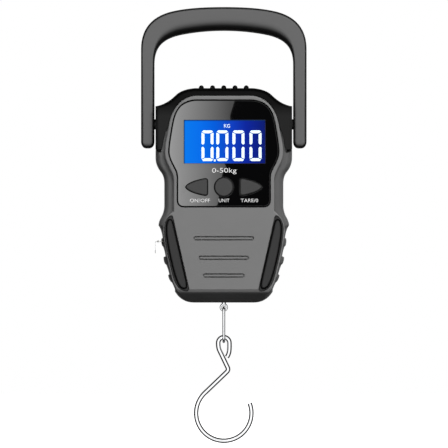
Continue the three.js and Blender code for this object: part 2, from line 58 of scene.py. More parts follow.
mm = 0.001


def low(node):
    # a node's lowest corner at rest, in millimetres
    return Vector(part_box(node)[0]) / mm


def high(node):
    return Vector(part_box(node)[1]) / mm


def centre(node):
    return (low(node) + high(node)) / 2


level = {
    "face": low("front_shell").y,
    "side": low("front_shell").y + 3,
    "back": high("rear_shell").y,
    "bottom": low("front_shell").z,
    "bumperFront": low("top_bumper").y + 0.2,
    "bumperBack": high("top_bumper").y,
    "pane": low("window_panel").y,
    "paneBack": high("window_panel").y,
    "display": low("display_module").y,
    "button": low("centre_button").y,
    "buttonBack": high("centre_button").y,
    "pad": low("left_grip_pad").y,
    "padBack": high("left_grip_pad").y,
    "strip": low("left_grip_strip").y,
}


camera = {"distance": 5.0, "wide": 0.23296, "x": 0.0001, "z": -0.1004}
camData = bpy.data.cameras.new("camera")
camData.lens = camData.sensor_width * camera["distance"] / camera["wide"]
camObject = bpy.data.objects.new("camera", camData)
camObject.location = (camera["x"], -camera["distance"], camera["z"])
camObject.rotation_euler = (math.pi / 2, 0, 0)
bpy.context.scene.collection.objects.link(camObject)
bpy.context.scene.camera = camObject
bpy.context.scene.view_settings.view_transform = "Standard"


def deselect():
    bpy.ops.object.select_all(action="DESELECT")


class Val:
    # one socket, with arithmetic
    def __init__(self, maker, socket):
        self.maker = maker
        self.socket = socket

    def calc(self, operation, a, b):
        return self.maker.node("ShaderNodeMath", {"operation": operation}, {0: a, 1: b})

    def __add__(self, other):
        return self.calc("ADD", self, other)

    def __radd__(self, other):
        return self.calc("ADD", other, self)

    def __sub__(self, other):
        return self.calc("SUBTRACT", self, other)

    def __rsub__(self, other):
        return self.calc("SUBTRACT", other, self)

    def __mul__(self, other):
        return self.calc("MULTIPLY", self, other)

    def __rmul__(self, other):
        return self.calc("MULTIPLY", other, self)

    def clamp(self, least=0.0, most=1.0):
        return self.maker.node("ShaderNodeClamp", {}, {0: self, 1: least, 2: most})


class Maker:
    # builds one material's nodes
    def __init__(self, name, tree=None):
        if tree is None:
            self.material = bpy.data.materials.new(name)
            self.material.use_nodes = True
            tree = self.material.node_tree
        self.tree = tree
        self.shader = tree.nodes.get("Principled BSDF")

    def node(self, kind, settings=None, inputs=None, out=0):
        made = self.tree.nodes.new(kind)
        for key, value in (settings or {}).items():
            if key == "stops":
                ramp = made.color_ramp
                while len(ramp.elements) < len(value):
                    ramp.elements.new(0.5)
                for element, (place, colour) in zip(ramp.elements, value):
                    element.position = place
                    element.color = (*colour, 1)
            else:
                setattr(made, key, value)
        for key, value in (inputs or {}).items():
            if isinstance(value, Val):
                self.tree.links.new(value.socket, made.inputs[key])
            else:
                made.inputs[key].default_value = value
        return Val(self, made.outputs[out])

    def place(self):
        return self.node("ShaderNodeTexCoord", out=3)

    def axis(self, index):
        return self.node("ShaderNodeSeparateXYZ", inputs={0: self.place()}, out=index)

    def noise(self, size, detail=3.0, rough=0.55):
        return self.node("ShaderNodeTexNoise", inputs={"Vector": self.place(), "Scale": 1 / size,
                                                       "Detail": detail, "Roughness": rough})

    def mix(self, factor, a, b):
        both = {"data_type": "RGBA"}
        return self.node("ShaderNodeMix", both, {0: factor, 6: (*a, 1) if isinstance(a, tuple) else a,
                                                 7: (*b, 1) if isinstance(b, tuple) else b}, out=2)

    def bump(self, height, strength, distance):
        return self.node("ShaderNodeBump", inputs={"Height": height, "Strength": strength,
                                                   "Distance": distance})

    def set(self, **values):
        for key, value in values.items():
            socket = self.shader.inputs[key.replace("_", " ")]
            if isinstance(value, Val):
                self.tree.links.new(value.socket, socket)
            else:
                socket.default_value = (*value, 1) if isinstance(value, tuple) else value
        return self.material


black = (0.0, 0.0, 0.0)
grainSize = 0.00035
grainDepth = 0.00003
cloudSize = 0.012


def mouldedPlastic(name, colour, rough, grain=grainSize, depth=grainDepth, coat=0.0, dusty=0.04,
                   shine=0.5):
    m = Maker(name)
    cloudy = m.noise(cloudSize)
    fine = m.noise(grain, 2.0)
    light = tuple(min(1, c * (1 + dusty) + dusty * 0.1) for c in colour)
    dark = tuple(c * (1 - dusty) for c in colour)
    m.set(Base_Color=m.mix(cloudy, dark, light), Roughness=rough + (cloudy - 0.5) * 0.12,
          Normal=m.bump(fine, 0.35, depth), Coat_Weight=coat, Coat_Roughness=0.12,
          Specular_IOR_Level=shine)
    return m.material


def metal(name, colour, rough, scratch=0.04):
    m = Maker(name)
    cloudy = m.noise(0.004, 4.0)
    fine = m.noise(0.0004, 3.0)
    m.set(Base_Color=m.mix(cloudy, tuple(c * 0.94 for c in colour), colour), Metallic=1.0,
          Roughness=rough + (fine - 0.5) * scratch)
    return m.material


def glossPane(name):
    m = Maker(name)
    faint = m.noise(0.02)
    m.set(Base_Color=m.mix(faint, (0.0035, 0.0035, 0.0038), (0.005, 0.005, 0.0055)),
          Roughness=0.01 + faint * 0.01, Coat_Weight=1.0, Coat_Roughness=0.0)
    return m.material


backlight = {
    "stops": [(0.0, (0.002, 0.185, 0.82)), (0.2, (0.002, 0.15, 0.8)), (0.37, (0.001, 0.105, 0.69)),
              (0.6, (0.005, 0.04, 0.48)), (0.76, (0.004, 0.012, 0.3)), (1.0, (0.004, 0.004, 0.12))],
    "rimSharp": 1300,
}


def litDisplay(name, left, right, top):
    # brighter towards the left, with a thin shadow under the window's edge
    m = Maker(name)
    across = ((m.axis(0) - left) * (1 / (right - left))).clamp()
    lamp = m.node("ShaderNodeValToRGB", {"stops": backlight["stops"]}, {0: across})
    sharp = backlight["rimSharp"]
    rimShade = ((m.axis(0) - left) * sharp).clamp() * ((top - m.axis(2)) * sharp).clamp()
    lamp = m.mix(rimShade, (0.004, 0.03, 0.1), lamp)
    grain = m.noise(0.0011, 2.0)
    m.set(Base_Color=m.mix(grain, (0.0, 0.01, 0.05), (0.0, 0.012, 0.06)), Emission_Color=lamp,
          Emission_Strength=1.0, Roughness=0.5 + grain * 0.1, Specular_IOR_Level=0.05)
    return m.material


def printed(name, colour, glow):
    m = Maker(name)
    grain = m.noise(0.0006, 2.0)
    m.set(Base_Color=m.mix(grain, tuple(c * 0.93 for c in colour), colour), Emission_Color=colour,
          Emission_Strength=glow, Roughness=0.35 + grain * 0.1)
    return m.material


def bailPlasticEdgeShade(name, colour, edgeShadeColour):
    # painted shade: the rounded edges, which turn away from the front, are painted darker by their tilt
    m = Maker(name)
    tilt = m.node("ShaderNodeAttribute", {"attribute_name": "tilt"}, out=2)
    cloudy = m.noise(cloudSize)
    fine = m.noise(grainSize, 2.0)
    # painted shade mask along the rounded edges
    edge = (tilt * 6.0 - 0.1).clamp()
    face = m.mix(cloudy, tuple(c * 0.96 for c in colour), tuple(c * 1.04 for c in colour))
    m.set(Base_Color=m.mix(edge, face, edgeShadeColour), Roughness=0.45 + (cloudy - 0.5) * 0.1,
          Normal=m.bump(fine, 0.35, grainDepth))
    return m.material


def shellPlasticShadedSides(name, face, side):
    # painted shade: paler on the raised face than behind it, the sides painted darker in place of their
    # shade
    m = Maker(name)
    cloudy = m.noise(cloudSize)
    fine = m.noise(grainSize, 2.0)
    # painted shade mask: 0 on the face, 1 behind it
    deep = (m.axis(1) * 900 + 12.4).clamp()
    colour = m.mix(deep, face, side)
    m.set(Base_Color=m.mix(cloudy * 0.06, colour, black), Roughness=0.42 + (cloudy - 0.5) * 0.12,
          Normal=m.bump(fine, 0.35, grainDepth), Specular_IOR_Level=0.4)
    return m.material


def bumperPlasticLitEars(name, top, earLitTone):
    # painted light: paler down on the ears in place of their soft highlights, darker along the top
    m = Maker(name)
    cloudy = m.noise(cloudSize)
    fine = m.noise(grainSize, 2.0)
    # painted light mask: 0 along the top, 1 down on the ears
    down = (m.axis(2) * -160 - 6.1).clamp()
    m.set(Base_Color=m.mix(cloudy * 0.06, m.mix(down, top, earLitTone), black),
          Roughness=0.45 + (cloudy - 0.5) * 0.12, Normal=m.bump(fine, 0.35, grainDepth),
          Specular_IOR_Level=0.08)
    return m.material


paint = {
    # the bail's second colour is its painted edge shade
    "bail": bailPlasticEdgeShade("bailGrey", (0.155, 0.155, 0.155), (0.012, 0.012, 0.012)),
    # the second colour is the painted shade behind the face
    "shell": shellPlasticShadedSides("shellGrey", (0.285, 0.285, 0.285), (0.145, 0.145, 0.145)),
    # the ears' paler colour is painted light
    "black": bumperPlasticLitEars("bumperBlack", (0.002, 0.002, 0.002), (0.024, 0.024, 0.024)),
    "pin": mouldedPlastic("pinBlack", (0.01, 0.01, 0.01), 0.35),
    "pane": glossPane("paneBlack"),
    "button": mouldedPlastic("buttonGrey", (0.057, 0.057, 0.057), 0.45, shine=0.4),
    "pad": mouldedPlastic("padGrey", (0.043, 0.043, 0.043), 0.6, 0.0005, 0.00006, shine=0.2),
    "strip": mouldedPlastic("stripGrey", (0.039, 0.039, 0.039), 0.5, 0.0005, 0.00005, shine=0.3),
    # near-black: painted shade in the gaps round the pane and grip strips, and the tape case's own black
    "gapShadeAndTape": mouldedPlastic("gapShadeAndTapeBlack", (0.002, 0.002, 0.002), 0.7, shine=0.05),
    "chrome": metal("polishedWire", (0.86, 0.87, 0.88), 0.05),
    "plated": metal("platedSteel", (0.62, 0.63, 0.65), 0.28, 0.12),
    "aluminium": metal("barAluminium", (0.66, 0.68, 0.7), 0.36, 0.15),
    "spring": metal("springSteel", (0.3, 0.31, 0.33), 0.34, 0.1),
    "digits": printed("digitWhite", (0.7, 0.84, 0.88), 0.85),
    # painted light: the printed labels glow, though ink on the pane is no lamp
    "label": printed("labelWhite", (0.75, 0.75, 0.75), 0.4),
    "tape": mouldedPlastic("tapeLacquer", (0.8, 0.79, 0.72), 0.3),
    "white": mouldedPlastic("insideWhite", (0.75, 0.75, 0.72), 0.5),
    "silicone": mouldedPlastic("siliconeGrey", (0.32, 0.32, 0.3), 0.7),
    "board": mouldedPlastic("boardGreen", (0.015, 0.09, 0.04), 0.4, dusty=0.15),
    "chip": mouldedPlastic("chipBlack", (0.012, 0.012, 0.013), 0.4),
    "cell": mouldedPlastic("cellJacket", (0.03, 0.035, 0.045), 0.3, coat=0.5),
    "lead": mouldedPlastic("leadGrey", (0.25, 0.25, 0.27), 0.5),
}

nodePaint = {
    "pin": ["left_pivot_pin", "right_pivot_pin"],
    "gapShadeAndTape": ["tape_case", "tape_reel"],
    "white": ["backlight_panel", "strain_gauge"],
    "silicone": ["display_connector", "button_mat"],
    "board": ["circuit_board"],
    "chip": ["controller_chip", "left_switch", "centre_switch", "right_switch"],
    "cell": ["upper_battery", "lower_battery"],
    "plated": ["joining_contact", "positive_contact", "negative_contact", "load_cell_screw_1",
               "load_cell_screw_2", "eye_nut", "tape_axle", "tape_rivet", "housing_screw_1",
               "housing_screw_2", "housing_screw_3", "housing_screw_4"],
    "aluminium": ["load_cell"],
    "lead": ["gauge_lead"],
    "tape": ["tape_coil"],
    "spring": ["tape_spring"],
}

for finishName, names in nodePaint.items():
    for name in names:
        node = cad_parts[name]
        node.data.materials.clear()
        node.data.materials.append(paint[finishName])
print("materials made")


def trace(start, steps, pieces=8):
    # a step is (x, z), or (bend x, bend z, x, z) for a curve
    points = [Vector(start)]
    for step in steps:
        if len(step) == 2:
            points.append(Vector(step))
            continue
        a = points[-1]
        b = Vector(step[:2])
        c = Vector(step[2:])
        for i in range(1, pieces + 1):
            t = i / pieces
            points.append(a * (1 - t) ** 2 + b * (2 * t * (1 - t)) + c * t ** 2)
    return [(p.x, p.y) for p in points]


def bothHalves(half):
    return half + [(-x, z) for x, z in reversed(half[1:-1])]


def flip(outline):
    return [(-x, z) for x, z in reversed(outline)]


housing = {
    "lower": [(35.45, -66), (35.45, -70, 32.8, -73.3), (30.9, -75.6, 30.9, -79.5), (30.9, -91),
              (31, -94.2, 32.6, -97), (33.9, -99.4, 33.9, -101.2), (33.4, -101.9),
              (32.2, -104, 31.8, -107.6), (32.4, -108), (32.7, -109.6, 32.1, -111.6), (31.5, -112.2),
              (30.7, -114.4, 30.3, -117.1), (31.3, -117.6), (31.4, -119.2, 30.6, -121), (29.9, -121.6),
              (29, -123.6, 28.3, -126.4), (28.95, -127), (28.7, -128.7, 27.6, -130.3), (27, -130.8),
              (26, -132.6, 25.4, -134.4), (25.4, -135.5), (22, -141.2, 15.5, -141.2), (0, -141.2)],
    "shoulder": [(15, -29.9), (21.8, -30.4, 25, -33.6), (29.8, -38.4, 35.45, -39.3)],
    "rim": [(14.5, -33.9), (17.4, -34.1, 20.1, -35.6), (21.6, -36.5, 22.7, -37.6),
            (24.3, -38.9, 25.3, -40.5), (26.7, -42.8, 27.4, -44.5), (28.1, -46.7, 28.5, -48.8),
            (29.5, -54.2), (30.4, -58.9), (30.75, -61.5, 30.7, -63.6), (30.6, -65.4, 30.2, -66.9),
            (29.7, -68.5, 28.9, -69.9), (26.9, -74.2), (26.1, -76, 26.1, -78.5), (26.1, -93.6)],
    "face": [(31.4, -97.6, 31.6, -104), (31, -112, 27.2, -127.6), (25.2, -136.8, 18, -139.6),
             (0, -139.6)],
    "ledge": [(34.9, -61.8), (35.45, -61.8, 35.45, -62.4)],
    "upper": [(15.6, -34.1), (20.4, -34.5, 23.3, -38.1), (26.6, -42, 27.9, -50),
              (29, -57, 29, -61.5), (29, -75), (0, -75)],
    "pane": [(14.5, -36.1), (17.6, -36.2, 20.6, -37.8), (22.2, -38.7, 23.0, -39.7),
             (24.2, -41.2, 24.9, -42.7), (25.8, -44.8, 26.2, -46.7), (26.75, -49.2, 27.1, -51.3),
             (28.05, -57.3), (28.5, -60.2, 28.55, -62.9), (28.5, -64.4, 28.05, -65.9),
             (27.5, -67.6, 26.6, -69.3), (24.9, -72.6), (24.2, -74.1, 24.1, -76.5), (24.1, -87.9),
             (24.1, -91.5, 20.5, -91.5), (0, -91.5)],
    "grip": [(26.5, -95.2, 28.2, -96.2), (31, -98.6, 31.1, -103), (30.9, -108, 29.6, -114.5),
             (27.6, -123.5, 26.3, -128.4), (25, -132.6, 22.4, -134.4), (19.4, -136.2, 18.2, -134.9),
             (17.8, -134.4, 18.0, -133.4)],
    "strip": [(26.9, -98.5, 27.9, -98.5), (29, -98.5, 29.4, -101.6), (29.5, -104, 29.2, -107),
              (28, -116, 25.4, -125.4), (24.2, -129.8, 22.9, -132), (21.9, -133.5, 20.6, -133.6),
              (19.5, -133.6, 19.6, -131.8)],
    "wedge": [(29.7, -51.5), (31, -55.5, 31.5, -59), (31.8, -61.2, 32.5, -62.1), (32.2, -66), (28, -66)],
}

silhouette = bothHalves(trace((0, -29.9), housing["shoulder"] + housing["lower"]))
lowerBody = bothHalves(trace((0, -61.8), housing["ledge"] + housing["lower"]))
upperBody = bothHalves(trace((0, -34.1), housing["upper"]))
faceEdge = bothHalves(trace((0, -33.9), housing["rim"] + housing["face"]))
paneGap = bothHalves(trace((0, -36.1), housing["pane"], 6))
gripEdge = trace((26.1, -97.2), housing["grip"])
stripEdge = trace((26.2, -102.4), housing["strip"], 6) + [(19.8, -130.5)]
wedge = trace((28, -50), housing["wedge"])


def circle(x, z, radius, count=48):
    angles = [2 * math.pi * i / count for i in range(count)]
    return [(x + radius * math.cos(a), z + radius * math.sin(a)) for a in angles]


def capsule(halfLength, z, tall, count=12):
    r = tall / 2
    ends = []
    for side, start in ((1, -math.pi / 2), (-1, math.pi / 2)):
        for i in range(count + 1):
            a = start + math.pi * i / count
            ends.append((side * (halfLength - r) + r * math.cos(a), z + r * math.sin(a)))
    return ends


def rectangle(x0, x1, z0, z1, corner=0.0, count=6):
    if not corner:
        return [(x0, z0), (x1, z0), (x1, z1), (x0, z1)]
    points = []
    for cx, cz, start in ((x1 - corner, z0 + corner, -90), (x1 - corner, z1 - corner, 0),
                          (x0 + corner, z1 - corner, 90), (x0 + corner, z0 + corner, 180)):
        for i in range(count + 1):
            a = math.radians(start + 90 * i / count)
            points.append((cx + corner * math.cos(a), cz + corner * math.sin(a)))
    return points


def fromOutline(name, outline, y):
    mesh = bpy.data.meshes.new(name)
    mesh.from_pydata([(x * mm, y * mm, z * mm) for x, z in outline], [], [list(range(len(outline)))])
    piece = bpy.data.objects.new(name, mesh)
    bpy.context.scene.collection.objects.link(piece)
    return piece


def edit(piece):
    deselect()
    bpy.context.view_layer.objects.active = piece
    piece.select_set(True)
    bpy.ops.object.mode_set(mode="EDIT")
    bpy.ops.mesh.select_mode(type="FACE")


def leave():
    bpy.ops.object.mode_set(mode="OBJECT")


def turning(outline):
    # 1 for an outline that runs anticlockwise, -1 for one that runs clockwise
    area = sum(a[0] * b[1] - b[0] * a[1] for a, b in zip(outline, outline[1:] + outline[:1]))
    return 1 if area > 0 else -1


def inward(outline, window):
    # slowly turning inward directions, so that rings drawn in along them never cross
    count = len(outline)
    turn = -turning(outline)
    edges = []
    for i in range(count):
        step = Vector(outline[(i + 1) % count]) - Vector(outline[i])
        edges.append((step.length, Vector((step.y, -step.x)).normalized() * turn))
    directions = []
    for i in range(count):
        total = Vector((0, 0))
        for way in (1, -1):
            reach, k = 0.0, i if way == 1 else i - 1
            while reach < window:
                length, normal = edges[k % count]
                part = min(length, window - reach)
                total += normal * part
                reach += max(length, 1e-4)
                k += way
        directions.append(total.normalized())
    return directions


def quarter(radii, count=6):
    # inset and drop along a quarter turn, from the side to the flat end
    angles = [math.pi / 2 * i / count for i in range(count + 1)]
    return [(radii[0] * (1 - math.cos(a)), radii[1] * (1 - math.sin(a))) for a in angles]


def fromRings(name, rings, merge):
    # a closed skin over a row of rings that have the same number of points
    size = len(rings[0])
    vertices = [(x * mm, y * mm, z * mm) for ring in rings for x, y, z in ring]
    faces = []
    for start in range(0, (len(rings) - 1) * size, size):
        for k in range(size):
            after = (k + 1) % size
            faces.append((start + k, start + after, start + size + after, start + size + k))
    faces += [tuple(range(size)), tuple(range((len(rings) - 1) * size, len(rings) * size))]
    mesh = bpy.data.meshes.new(name)
    mesh.from_pydata(vertices, [], faces)
    piece = bpy.data.objects.new(name, mesh)
    bpy.context.scene.collection.objects.link(piece)
    cleanUp(piece, merge)
    return piece


def cleanUp(piece, merge):
    # joins doubled points and turns the faces outwards
    edit(piece)
    bpy.ops.mesh.select_all(action="SELECT")
    bpy.ops.mesh.remove_doubles(threshold=merge)
    bpy.ops.mesh.normals_make_consistent(inside=False)
    leave()


def slab(name, outline, front, back, frontRound=None, backRound=None):
    # an outline pushed through from front to back, with rounded ends
    if not (frontRound or backRound):
        piece = fromOutline(name, outline, back)
        edit(piece)
        bpy.ops.mesh.select_all(action="SELECT")
        bpy.ops.mesh.extrude_region_move(TRANSFORM_OT_translate={"value": (0, (front - back) * mm, 0)})
        bpy.ops.mesh.select_all(action="SELECT")
        bpy.ops.mesh.normals_make_consistent(inside=False)
        leave()
        return piece
    levels = [(0.0, back)]
    if backRound:
        levels = [(inset, back - drop) for inset, drop in reversed(quarter(backRound))]
    if frontRound:
        levels += [(inset, front + drop) for inset, drop in quarter(frontRound)]
    else:
        levels.append((0.0, front))
    ways = inward(outline, max(inset for inset, y in levels) * 2 + 0.01)
    rings = []
    for inset, y in levels:
        rings.append([(x + w.x * inset, y, z + w.y * inset) for (x, z), w in zip(outline, ways)])
    return fromRings(name, rings, 1e-7)


def applyModifiers(piece):
    deselect()
    bpy.context.view_layer.objects.active = piece
    piece.select_set(True)
    for modifier in list(piece.modifiers):
        bpy.ops.object.modifier_apply(modifier=modifier.name)


def carve(piece, cutter, operation="DIFFERENCE"):
    made = piece.modifiers.new("carve", "BOOLEAN")
    made.operation = operation
    made.solver = "EXACT"
    made.object = cutter
    applyModifiers(piece)
    bpy.data.objects.remove(cutter)
    return piece


def softenEdges(piece, width, angle=30, segments=2):
    made = piece.modifiers.new("soften", "BEVEL")
    made.width = width * mm
    made.segments = segments
    made.limit_method = "ANGLE"
    made.angle_limit = math.radians(angle)
    made.harden_normals = False
    applyModifiers(piece)


def finishPiece(piece, finishName, body, replaced=(), smooth=35):
    deselect()
    bpy.context.view_layer.objects.active = piece
    piece.select_set(True)
    bpy.ops.object.shade_smooth_by_angle(angle=math.radians(smooth))
    even = piece.modifiers.new("even", "WEIGHTED_NORMAL")
    even.keep_sharp = True
    bpy.ops.object.modifier_apply(modifier=even.name)
    # tilt feeds the painted edge shade of the bail's finish
    tilt = piece.data.attributes.new("tilt", "FLOAT", "POINT")
    for vertex, value in zip(piece.data.vertices, tilt.data):
        value.value = 1 - abs(vertex.normal.y)
    piece.data.materials.clear()
    piece.data.materials.append(paint[finishName])
    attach(piece, body)
    if replaced:
        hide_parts(*replaced)
    return piece


bail = {
    "depth": 6.5, "outerEdge": 1.7, "legEdge": 1.8, "barUnder": (6.6, 6.2), "end": 3.4, "endShrink": 2.6,
    "straightEnd": -57.7, "legWide": (43, 36.06), "bendEnds": (-9.5, -17.5), "pinHole": 3, "pinAt": 38,
    "outerBar": [(0, 12.3), (11, 12.3), (20, 11.7), (27.4, 9.9)],
    "outerBend": [(27.4, 9.9), (37.8, 7.2), (43, 0.6), (43, -9.5)],
    "innerBar": [(0, 0), (9, 0), (17, -1), (23.4, -2.4)],
    "innerBend": [(23.4, -2.4), (32.4, -4.6), (36.06, -9), (36.06, -17.5)],
}


def bezier(a, b, c, d, count):
    points = []
    for i in range(1, count + 1):
        t = i / count
        points.append(Vector(a) * (1 - t) ** 3 + Vector(b) * (3 * t * (1 - t) ** 2)
                      + Vector(c) * (3 * t * t * (1 - t)) + Vector(d) * t ** 3)
    return points


def bailRails():
    # matching points on the outer and inner edge, from the middle of the bar down the right leg
    rails = []
    for edge, wide, bendEnd in zip(("outer", "inner"), bail["legWide"], bail["bendEnds"]):
        rail = [Vector(bail[edge + "Bar"][0])] + bezier(*bail[edge + "Bar"], 12)
        rail += bezier(*bail[edge + "Bend"], 16)
        for i in range(1, 7):
            rail.append(Vector((wide, bendEnd + (bail["straightEnd"] - bendEnd) * i / 6)))
        rails.append(rail)
    return rails


def bailSection(outer, inner, underIn, underDeep, shrink=0.0):
    # points round one cross-section, outer edge first
    across = inner - outer
    width = across.length
    across = across.normalized()
    depth = bail["depth"] - shrink
    edge = bail["outerEdge"]
    side = [(shrink + inset, depth - drop) for inset, drop in quarter((edge, edge))]
    for i in range(11):
        a = math.pi / 2 * (1 - i / 10)
        side.append((width - shrink - underIn + underIn * math.cos(a),
                     depth - underDeep * (1 - math.sin(a))))
    loop = [(u, -v) for u, v in side] + [(u, v) for u, v in reversed(side)]
    return [(outer.x + across.x * u, v, outer.y + across.y * u) for u, v in loop]


def makeBail():
    outer, inner = bailRails()
    legEdge = bail["legEdge"]
    rings = []
    for i in range(len(outer)):
        nearLeg = min(1, max(0, (i - 10) / 18))
        ease = nearLeg * nearLeg * (3 - 2 * nearLeg)
        underIn, underDeep = (barEdge * (1 - ease) + legEdge * ease for barEdge in bail["barUnder"])
        rings.append(bailSection(outer[i], inner[i], underIn, underDeep))
    for i in range(1, 7):
        a = math.pi / 2 * i / 6
        drop = Vector((0, -bail["end"] * math.sin(a)))
        shrink = bail["endShrink"] * (1 - math.cos(a))
        rings.append(bailSection(outer[-1] + drop, inner[-1] + drop, legEdge, legEdge, shrink))
    left = [[(-x, y, z) for x, y, z in ring] for ring in reversed(rings[1:])]
    piece = fromRings("bail", left + rings, 1e-6)
    pinZ = centre("left_pivot_pin").z
    for sign in (-1, 1):
        deselect()
        bpy.ops.mesh.primitive_cylinder_add(vertices=48, radius=bail["pinHole"] * mm, depth=7 * mm,
                                            location=(sign * bail["pinAt"] * mm, 0, pinZ * mm),
                                            rotation=(0, math.pi / 2, 0))
        carve(piece, bpy.context.object)
    finishPiece(piece, "bail", "handle", ["handle_bail"], 50)


makeBail()
print("bail made")


shell = {
    "grooves": [(-107.8, 15.7), (-117.9, 13.1), (-127.1, 10.8)], "grooveTall": 2.3, "grooveDeep": 1.2,
    "barShort": 0.7, "barLow": 1.4, "barDown": 0.2, "slants": [(6.0, 0.62, 0.78), (7.0, 0.9, 0.44)],
    "sideRound": (3.0, 5.0), "frontTopRound": (1.2, 1.5), "backTopRound": (2.0, 3.0),
    "faceRound": (0.8, 0.8), "faceBack": -6, "earBack": -0.15, "roomEnds": (-9, 1),
    "lipSeatEnds": (-1.4, 1),
    "halfGap": 0.02, "wall": 2.6, "lipSeat": 0.8, "lip": (0.9, 2.3), "edge": 0.22, "grip": -12.9,
    "view": rectangle(-22.9, 23.7, -71.5, -43.9), "tapeSlot": rectangle(-40, -20, -110.5, -108.8),
    "tapeSlotEnds": (-10.8, -4.2), "holeEnds": (-14, -7), "outside": -18, "barBack": -13,
    "buttonGap": 0.4, "paneSeat": 0.35,
}
buttonShape = trace((8.5, -78.2), [(8.5, -77, 9.8, -77.05), (18.2, -78.6, 19.7, -81.25),
                                   (18.2, -83.9, 9.8, -85.45), (8.5, -85.5, 8.5, -84.3)], 8)
roundShape = circle(0, -81.25, 4.75)
buttonShapes = {"left": flip(buttonShape), "centre": roundShape, "right": buttonShape}
displayView = rectangle(-20.7, 21.5, -68.95, -46.45)


def shellForm(name, front):
    # one half of the housing, before it is cut
    gap = shell["halfGap"]
    side, top = shell["sideRound"], shell["frontTopRound" if front else "backTopRound"]
    ends = (level["side"], -gap) if front else (gap, level["back"])
    body = slab(name, lowerBody, *ends, side if front else None, None if front else side)
    head = slab(name + "Top", upperBody, *ends, top if front else None, None if front else top)
    return carve(body, head, "UNION")


def cutButtons(piece, front, back):
    for shape in (buttonShape, flip(buttonShape), roundShape):
        carve(piece, slab("hole", widened(shape, shell["buttonGap"]), front, back))


def widened(outline, by):
    # moves an outline's points outwards
    count = len(outline)
    turn = turning(outline)
    moved = []
    for i in range(count):
        before = Vector(outline[i - 1])
        here = Vector(outline[i])
        after = Vector(outline[(i + 1) % count])
        along = ((here - before).normalized() + (after - here).normalized()).normalized()
        out = Vector((along.y, -along.x)) * turn
        moved.append(tuple(here + out * by))
    return moved


def bevelUnder(piece):
    # cuts the face's lower edge off at a slant, in two steps so that it turns softly
    edit(piece)
    for rise, out, down in shell["slants"]:
        bpy.ops.mesh.select_all(action="SELECT")
        bpy.ops.mesh.bisect(plane_co=(0, level["face"] * mm, (level["bottom"] + rise) * mm),
                            plane_no=(0, -out, -down), use_fill=True, clear_outer=True)
    leave()


def makeFrontShell():
    outside = shell["outside"]
    piece = shellForm("frontShell", True)
    for outline in (wedge, flip(wedge)):
        carve(piece, slab("earWedge", outline, level["side"], shell["earBack"]), "UNION")
    face = slab("face", faceEdge, level["face"], shell["faceBack"], shell["faceRound"])
    carve(piece, face, "UNION")
    bevelUnder(piece)
    carve(piece, slab("room", widened(faceEdge, -shell["wall"]), *shell["roomEnds"]))
    carve(piece, slab("lipSeat", widened(faceEdge, -shell["lipSeat"]), *shell["lipSeatEnds"]))
    carve(piece, slab("recess", widened(paneGap, shell["paneSeat"]), outside, level["paneBack"] + 0.3))
    carve(piece, slab("hole", shell["view"], *shell["holeEnds"]))
    cutButtons(piece, *shell["holeEnds"])
    for outline in (gripEdge, flip(gripEdge)):
        carve(piece, slab("grip", outline, outside, shell["grip"]))
    tall, deep = shell["grooveTall"], shell["grooveDeep"]
    for z, half in shell["grooves"]:
        carve(piece, slab("groove", capsule(half, z, tall), outside, level["face"] + deep))
        bar = capsule(half - shell["barShort"], z, tall - shell["barLow"])
        carve(piece, slab("bar", bar, level["face"] + shell["barDown"], shell["barBack"]), "UNION")
    carve(piece, slab("slot", shell["tapeSlot"], *shell["tapeSlotEnds"]))
    softenEdges(piece, shell["edge"], 40)
    finishPiece(piece, "shell", "housing", ["front_shell"])


rear = {
    "room": (-1, 11.2), "pocket": rectangle(-25.8, 25.8, -79.8, -52.8),
    "cellRoom": rectangle(-23.4, 23.4, -77.4, -55.2),
    "coverGap": 0.3, "coverCorner": 0.9, "post": 3.6, "headHole": 2.5, "shankHole": 1.4,
}


def makeRearShell():
    piece = shellForm("rearShell", False)
    first, last = low("battery_cover"), high("battery_cover")
    carve(piece, slab("room", widened(faceEdge, -shell["wall"]), *rear["room"]))
    lip = slab("lip", widened(faceEdge, -shell["lip"][0]), -1.2, 2)
    carve(lip, slab("lipRoom", widened(faceEdge, -shell["lip"][1]), -3, 4))
    carve(piece, lip, "UNION")
    carve(piece, slab("pocket", rear["pocket"], 0.3, 11.6), "UNION")
    carve(piece, slab("hollow", rear["cellRoom"], -1, 12))
    gap = rear["coverGap"]
    opening = rectangle(first.x - gap, last.x + gap, first.z - gap, last.z + gap, rear["coverCorner"])
    carve(piece, slab("opening", opening, first.y - gap, 18))
    for number in range(1, 5):
        screw = centre("housing_screw_{}".format(number))
        carve(piece, slab("post", circle(screw.x, screw.z, rear["post"], 32), 0.3, 11.8), "UNION")
        carve(piece, slab("screwHole", circle(screw.x, screw.z, rear["headHole"], 32), 5, 18))
        carve(piece, slab("shankHole", circle(screw.x, screw.z, rear["shankHole"], 24), -1, 18))
    softenEdges(piece, shell["edge"], 40)
    finishPiece(piece, "shell", "housing", ["rear_shell"])


makeFrontShell()
makeRearShell()
print("shells made")


bumper = {
    "round": (2.2, 3.2), "seat": 0.3, "wedgeSeat": 0.2, "bottom": -61.72, "edge": 0.25,
    "nubs": 5, "nubStep": 5.83, "nub": 1.3, "nubDrop": 1.45, "nubEnds": (-12.4, 11.6),
    "nubRound": (0.6, 0.6),
}


